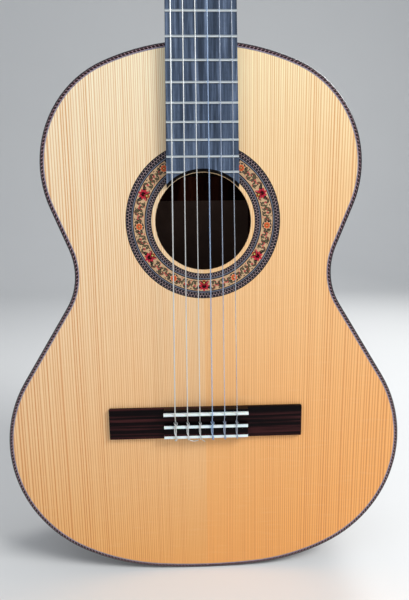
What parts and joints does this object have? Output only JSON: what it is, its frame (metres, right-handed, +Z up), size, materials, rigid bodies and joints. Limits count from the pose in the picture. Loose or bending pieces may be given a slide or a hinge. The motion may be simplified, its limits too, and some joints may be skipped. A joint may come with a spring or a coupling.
{
  "type": "classical guitar",
  "caption": "Nylon-string acoustic guitar with a spruce front, a mosaic ring round the sound hole, a tie-block bridge and a slotted head with geared tuners.",
  "frame": {"origin": "on the floor of the bounding box, under the tail, midway between the foremost and the rearmost point", "axes": "+Z up the neck, +X to the treble side as seen from the front, -Y out of the soundboard"},
  "size_m": [0.3752, 0.1161, 1.0047],
  "materials": {
    "spruce": "gloss lacquer",
    "rosette": "gloss lacquer",
    "rosewood": "gloss lacquer",
    "cedar": "satin",
    "binding": "gloss lacquer",
    "purfling": "gloss lacquer",
    "ebony": "oiled",
    "nickel": "polished",
    "bone": "satin",
    "label_paper": "matt",
    "plate_metal": "polished",
    "roller_bone": "satin",
    "gear_brass": "satin",
    "worm_steel": "turned",
    "button_pearl": "pearl",
    "wound_string": "wound wire",
    "nylon": "clear"
  },
  "bodies": {
    "guitar": {"soundboard": "spruce", "top_braces": "spruce", "back_braces": "spruce", "rosette": "rosette", "back": "rosewood", "rib_bass": "rosewood", "rib_treble": "rosewood", "head_veneer": "rosewood", "heel_cap": "rosewood", "bridge": "rosewood", "soundhole_patch": "cedar", "neck": "cedar", "headstock": "cedar", "heel_block": "cedar", "tail_block": "cedar", "linings": "cedar", "top_binding": "binding", "back_binding": "binding", "end_graft": "binding", "back_strip": "binding", "top_purfling": "purfling", "fingerboard": "ebony", "frets": "nickel", "nut": "bone", "saddle": "bone", "tie_block_strips": "bone", "label": "label_paper", "tuner_plate_bass": "plate_metal", "tuner_plate_treble": "plate_metal", "plate_screws": "plate_metal", "string_6": "wound_string", "string_5": "wound_string", "string_4": "wound_string", "string_3": "nylon", "string_2": "nylon", "string_1": "nylon"},
    "button_1": {"tuner_button_1": "button_pearl", "tuner_worm_1": "worm_steel"},
    "roller_1": {"tuner_roller_1": "roller_bone", "tuner_gear_1": "gear_brass"},
    "button_2": {"tuner_button_2": "button_pearl", "tuner_worm_2": "worm_steel"},
    "roller_2": {"tuner_roller_2": "roller_bone", "tuner_gear_2": "gear_brass"},
    "button_3": {"tuner_button_3": "button_pearl", "tuner_worm_3": "worm_steel"},
    "roller_3": {"tuner_roller_3": "roller_bone", "tuner_gear_3": "gear_brass"},
    "button_4": {"tuner_button_4": "button_pearl", "tuner_worm_4": "worm_steel"},
    "roller_4": {"tuner_roller_4": "roller_bone", "tuner_gear_4": "gear_brass"},
    "button_5": {"tuner_button_5": "button_pearl", "tuner_worm_5": "worm_steel"},
    "roller_5": {"tuner_roller_5": "roller_bone", "tuner_gear_5": "gear_brass"},
    "button_6": {"tuner_button_6": "button_pearl", "tuner_worm_6": "worm_steel"},
    "roller_6": {"tuner_roller_6": "roller_bone", "tuner_gear_6": "gear_brass"}
  },
  "joints": [
    {"name": "button_turn_1", "type": "hinge", "parent": "guitar", "child": "button_1", "pos_m": [0.0402, -0.0236, 0.8638], "axis": [0, -0.9659, 0.2588], "continuous": true},
    {"name": "roller_turn_1", "type": "hinge", "parent": "guitar", "child": "roller_1", "pos_m": [0.02, -0.0214, 0.87201], "axis": [1, 0, 0], "continuous": true},
    {"name": "button_turn_2", "type": "hinge", "parent": "guitar", "child": "button_2", "pos_m": [0.0402, -0.01454, 0.89761], "axis": [0, -0.9659, 0.2588], "continuous": true},
    {"name": "roller_turn_2", "type": "hinge", "parent": "guitar", "child": "roller_2", "pos_m": [0.02, -0.01234, 0.90582], "axis": [1, 0, 0], "continuous": true},
    {"name": "button_turn_3", "type": "hinge", "parent": "guitar", "child": "button_3", "pos_m": [0.0402, -0.00548, 0.93141], "axis": [0, -0.9659, 0.2588], "continuous": true},
    {"name": "roller_turn_3", "type": "hinge", "parent": "guitar", "child": "roller_3", "pos_m": [0.02, -0.00328, 0.93963], "axis": [1, 0, 0], "continuous": true},
    {"name": "button_turn_4", "type": "hinge", "parent": "guitar", "child": "button_4", "pos_m": [-0.0402, -0.00548, 0.93141], "axis": [0, -0.9659, 0.2588], "continuous": true},
    {"name": "roller_turn_4", "type": "hinge", "parent": "guitar", "child": "roller_4", "pos_m": [-0.02, -0.00328, 0.93963], "axis": [1, 0, 0], "continuous": true},
    {"name": "button_turn_5", "type": "hinge", "parent": "guitar", "child": "button_5", "pos_m": [-0.0402, -0.01454, 0.89761], "axis": [0, -0.9659, 0.2588], "continuous": true},
    {"name": "roller_turn_5", "type": "hinge", "parent": "guitar", "child": "roller_5", "pos_m": [-0.02, -0.01234, 0.90582], "axis": [1, 0, 0], "continuous": true},
    {"name": "button_turn_6", "type": "hinge", "parent": "guitar", "child": "button_6", "pos_m": [-0.0402, -0.0236, 0.8638], "axis": [0, -0.9659, 0.2588], "continuous": true},
    {"name": "roller_turn_6", "type": "hinge", "parent": "guitar", "child": "roller_6", "pos_m": [-0.02, -0.0214, 0.87201], "axis": [1, 0, 0], "continuous": true}
  ],
  "couplings": [
    {"joint": "roller_turn_1", "follows": "button_turn_1", "ratio": 0.071429},
    {"joint": "roller_turn_2", "follows": "button_turn_2", "ratio": 0.071429},
    {"joint": "roller_turn_3", "follows": "button_turn_3", "ratio": 0.071429},
    {"joint": "roller_turn_4", "follows": "button_turn_4", "ratio": -0.071429},
    {"joint": "roller_turn_5", "follows": "button_turn_5", "ratio": -0.071429},
    {"joint": "roller_turn_6", "follows": "button_turn_6", "ratio": -0.071429}
  ]
}
